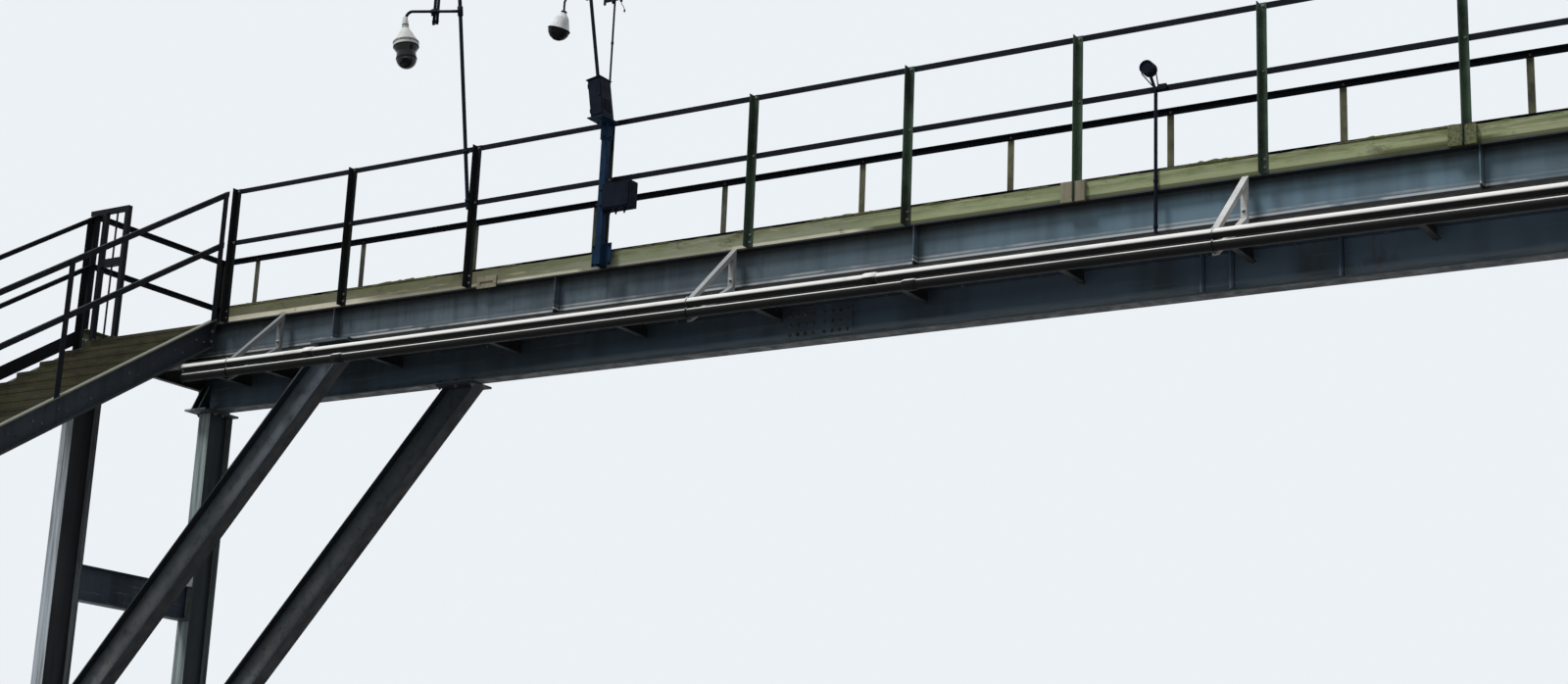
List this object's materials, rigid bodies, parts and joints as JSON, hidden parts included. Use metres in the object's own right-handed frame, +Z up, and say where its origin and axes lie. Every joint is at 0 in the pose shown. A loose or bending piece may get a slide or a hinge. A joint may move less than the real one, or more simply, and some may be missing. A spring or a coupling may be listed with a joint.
{
  "type": "metal footbridge",
  "caption": "Steel girder footbridge with angle railings, raking strut piers and an open two-flight stair down from the landing at each end.",
  "frame": {"origin": "on the ground, in the middle of the ground that the bridge covers", "axes": "+X along the span, +Y across it away from the stairs, +Z up"},
  "size_m": [29.74, 14.2, 10.4506],
  "materials": {
    "girder_paint": "weathered slate grey paint with rust",
    "kerb_paint": "faded olive beige paint with moss",
    "deck_steel": "worn dark deck coating",
    "railing_paint": "old dark green paint over olive",
    "pier_paint": "weathered blue black paint",
    "step_steel": "mossy brown worn plate",
    "string_paint": "dark weathered paint",
    "galvanised": "dull galvanised",
    "fitting_paint": "dark grey paint",
    "camera_housing": "off-white moulded housing",
    "lamp_housing": "pale cast housing"
  },
  "bodies": {
    "root": {"barrier_frame_left": "railing_paint", "barrier_frame_right": "railing_paint", "camera_mast": "fitting_paint", "cross_beams": "girder_paint", "deck_plate": "deck_steel", "dome_camera": "camera_housing", "equipment_cabinet": "fitting_paint", "equipment_mast": "fitting_paint", "far_column_left": "pier_paint", "far_column_right": "pier_paint", "far_girder": "girder_paint", "far_kerb": "kerb_paint", "far_railing": "railing_paint", "floodlight": "lamp_housing", "inner_stair_railing_left": "railing_paint", "inner_stair_railing_right": "railing_paint", "junction_box": "fitting_paint", "landing_beams_left": "girder_paint", "landing_beams_right": "girder_paint", "landing_deck_left": "deck_steel", "landing_deck_right": "deck_steel", "landing_end_railing_left": "railing_paint", "landing_end_railing_right": "railing_paint", "landing_kerb_left": "kerb_paint", "landing_kerb_right": "kerb_paint", "light_pole": "fitting_paint", "lower_steps_left": "step_steel", "lower_steps_right": "step_steel", "lower_strings_left": "string_paint", "lower_strings_right": "string_paint", "near_column_left": "pier_paint", "near_column_right": "pier_paint", "near_girder": "girder_paint", "near_kerb": "kerb_paint", "near_railing": "railing_paint", "outer_stair_railing_left": "railing_paint", "outer_stair_railing_right": "railing_paint", "pier_beams_left": "pier_paint", "pier_beams_right": "pier_paint", "pipe_brackets": "galvanised", "rest_landing_left": "string_paint", "rest_landing_right": "string_paint", "service_pipes": "galvanised", "splice_plates": "girder_paint", "spotlight_pole": "fitting_paint", "struts_left": "pier_paint", "struts_right": "pier_paint", "trestle_left": "pier_paint", "trestle_right": "pier_paint", "upper_steps_left": "step_steel", "upper_steps_right": "step_steel", "upper_strings_left": "string_paint", "upper_strings_right": "string_paint"}
  },
  "joints": []
}
